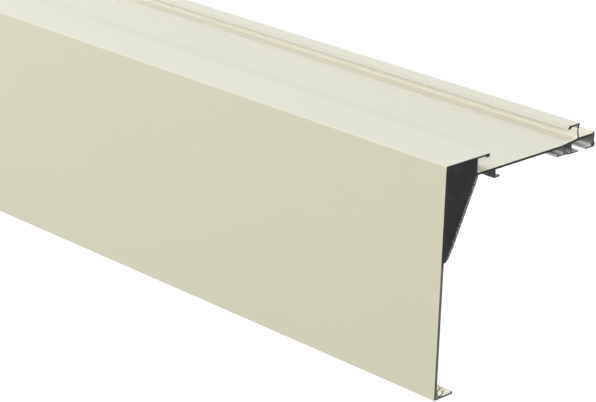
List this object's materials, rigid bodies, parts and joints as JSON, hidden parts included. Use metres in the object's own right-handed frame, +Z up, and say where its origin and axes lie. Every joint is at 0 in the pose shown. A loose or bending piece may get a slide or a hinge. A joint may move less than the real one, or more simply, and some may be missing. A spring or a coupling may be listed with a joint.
{
  "type": "pelmet curtain track",
  "caption": "Aluminium window pelmet: tall front panel on black end brackets, top plate with hanging rail, accessory channel and curtain track with wheeled gliders.",
  "frame": {"origin": "middle of the hanging rail's flat top face, which meets the ceiling, at mid-length", "axes": "+X along the pelmet to the picture's right end, +Y back from the fascia towards the wall, +Z up"},
  "size_m": [0.6, 0.1385, 0.1511],
  "materials": {
    "cream_coated_fascia": "cream powder coat outside and inside",
    "cream_coated_plate": "cream powder coat on top, mill finish below",
    "black_nylon": "moulded, fine texture",
    "zinc_steel": "bright zinc",
    "white_nylon": "moulded, smooth",
    "grey_nylon": "moulded, fine texture"
  },
  "bodies": {
    "root": {"fascia": "cream_coated_fascia", "top_plate": "cream_coated_plate", "end_bracket_right": "black_nylon", "bracket_screws_right": "zinc_steel", "end_stop_right": "grey_nylon", "end_stop_screw_right": "zinc_steel", "end_bracket_left": "black_nylon", "bracket_screws_left": "zinc_steel", "end_stop_left": "grey_nylon", "end_stop_screw_left": "zinc_steel"},
    "glider_1": {"glider_1_body": "white_nylon"},
    "wheels_1": {"glider_1_axle": "zinc_steel", "glider_1_front_wheel": "white_nylon", "glider_1_back_wheel": "white_nylon"},
    "glider_2": {"glider_2_body": "white_nylon"},
    "wheels_2": {"glider_2_axle": "zinc_steel", "glider_2_front_wheel": "white_nylon", "glider_2_back_wheel": "white_nylon"},
    "glider_3": {"glider_3_body": "white_nylon"},
    "wheels_3": {"glider_3_axle": "zinc_steel", "glider_3_front_wheel": "white_nylon", "glider_3_back_wheel": "white_nylon"},
    "glider_4": {"glider_4_body": "white_nylon"},
    "wheels_4": {"glider_4_axle": "zinc_steel", "glider_4_front_wheel": "white_nylon", "glider_4_back_wheel": "white_nylon"},
    "glider_5": {"glider_5_body": "white_nylon"},
    "wheels_5": {"glider_5_axle": "zinc_steel", "glider_5_front_wheel": "white_nylon", "glider_5_back_wheel": "white_nylon"},
    "glider_6": {"glider_6_body": "white_nylon"},
    "wheels_6": {"glider_6_axle": "zinc_steel", "glider_6_front_wheel": "white_nylon", "glider_6_back_wheel": "white_nylon"}
  },
  "joints": [
    {"name": "glider_1_slide", "type": "slide", "parent": "root", "child": "glider_1", "axis": [1, 0, 0], "range_m": [-0.036, 0.036]},
    {"name": "wheels_1_spin", "type": "hinge", "parent": "glider_1", "child": "wheels_1", "pos_m": [-0.22, 0.0088, -0.01525], "axis": [0, 1, 0], "continuous": true},
    {"name": "glider_2_slide", "type": "slide", "parent": "root", "child": "glider_2", "axis": [1, 0, 0], "range_m": [-0.036, 0.036]},
    {"name": "wheels_2_spin", "type": "hinge", "parent": "glider_2", "child": "wheels_2", "pos_m": [-0.132, 0.0088, -0.01525], "axis": [0, 1, 0], "continuous": true},
    {"name": "glider_3_slide", "type": "slide", "parent": "root", "child": "glider_3", "axis": [1, 0, 0], "range_m": [-0.036, 0.036]},
    {"name": "wheels_3_spin", "type": "hinge", "parent": "glider_3", "child": "wheels_3", "pos_m": [-0.044, 0.0088, -0.01525], "axis": [0, 1, 0], "continuous": true},
    {"name": "glider_4_slide", "type": "slide", "parent": "root", "child": "glider_4", "axis": [1, 0, 0], "range_m": [-0.036, 0.036]},
    {"name": "wheels_4_spin", "type": "hinge", "parent": "glider_4", "child": "wheels_4", "pos_m": [0.044, 0.0088, -0.01525], "axis": [0, 1, 0], "continuous": true},
    {"name": "glider_5_slide", "type": "slide", "parent": "root", "child": "glider_5", "axis": [1, 0, 0], "range_m": [-0.036, 0.036]},
    {"name": "wheels_5_spin", "type": "hinge", "parent": "glider_5", "child": "wheels_5", "pos_m": [0.132, 0.0088, -0.01525], "axis": [0, 1, 0], "continuous": true},
    {"name": "glider_6_slide", "type": "slide", "parent": "root", "child": "glider_6", "axis": [1, 0, 0], "range_m": [-0.036, 0.036]},
    {"name": "wheels_6_spin", "type": "hinge", "parent": "glider_6", "child": "wheels_6", "pos_m": [0.22, 0.0088, -0.01525], "axis": [0, 1, 0], "continuous": true}
  ],
  "couplings": [
    {"joint": "wheels_1_spin", "follows": "glider_1_slide", "rad_per_m": 400},
    {"joint": "wheels_2_spin", "follows": "glider_2_slide", "rad_per_m": 400},
    {"joint": "wheels_3_spin", "follows": "glider_3_slide", "rad_per_m": 400},
    {"joint": "wheels_4_spin", "follows": "glider_4_slide", "rad_per_m": 400},
    {"joint": "wheels_5_spin", "follows": "glider_5_slide", "rad_per_m": 400},
    {"joint": "wheels_6_spin", "follows": "glider_6_slide", "rad_per_m": 400}
  ]
}
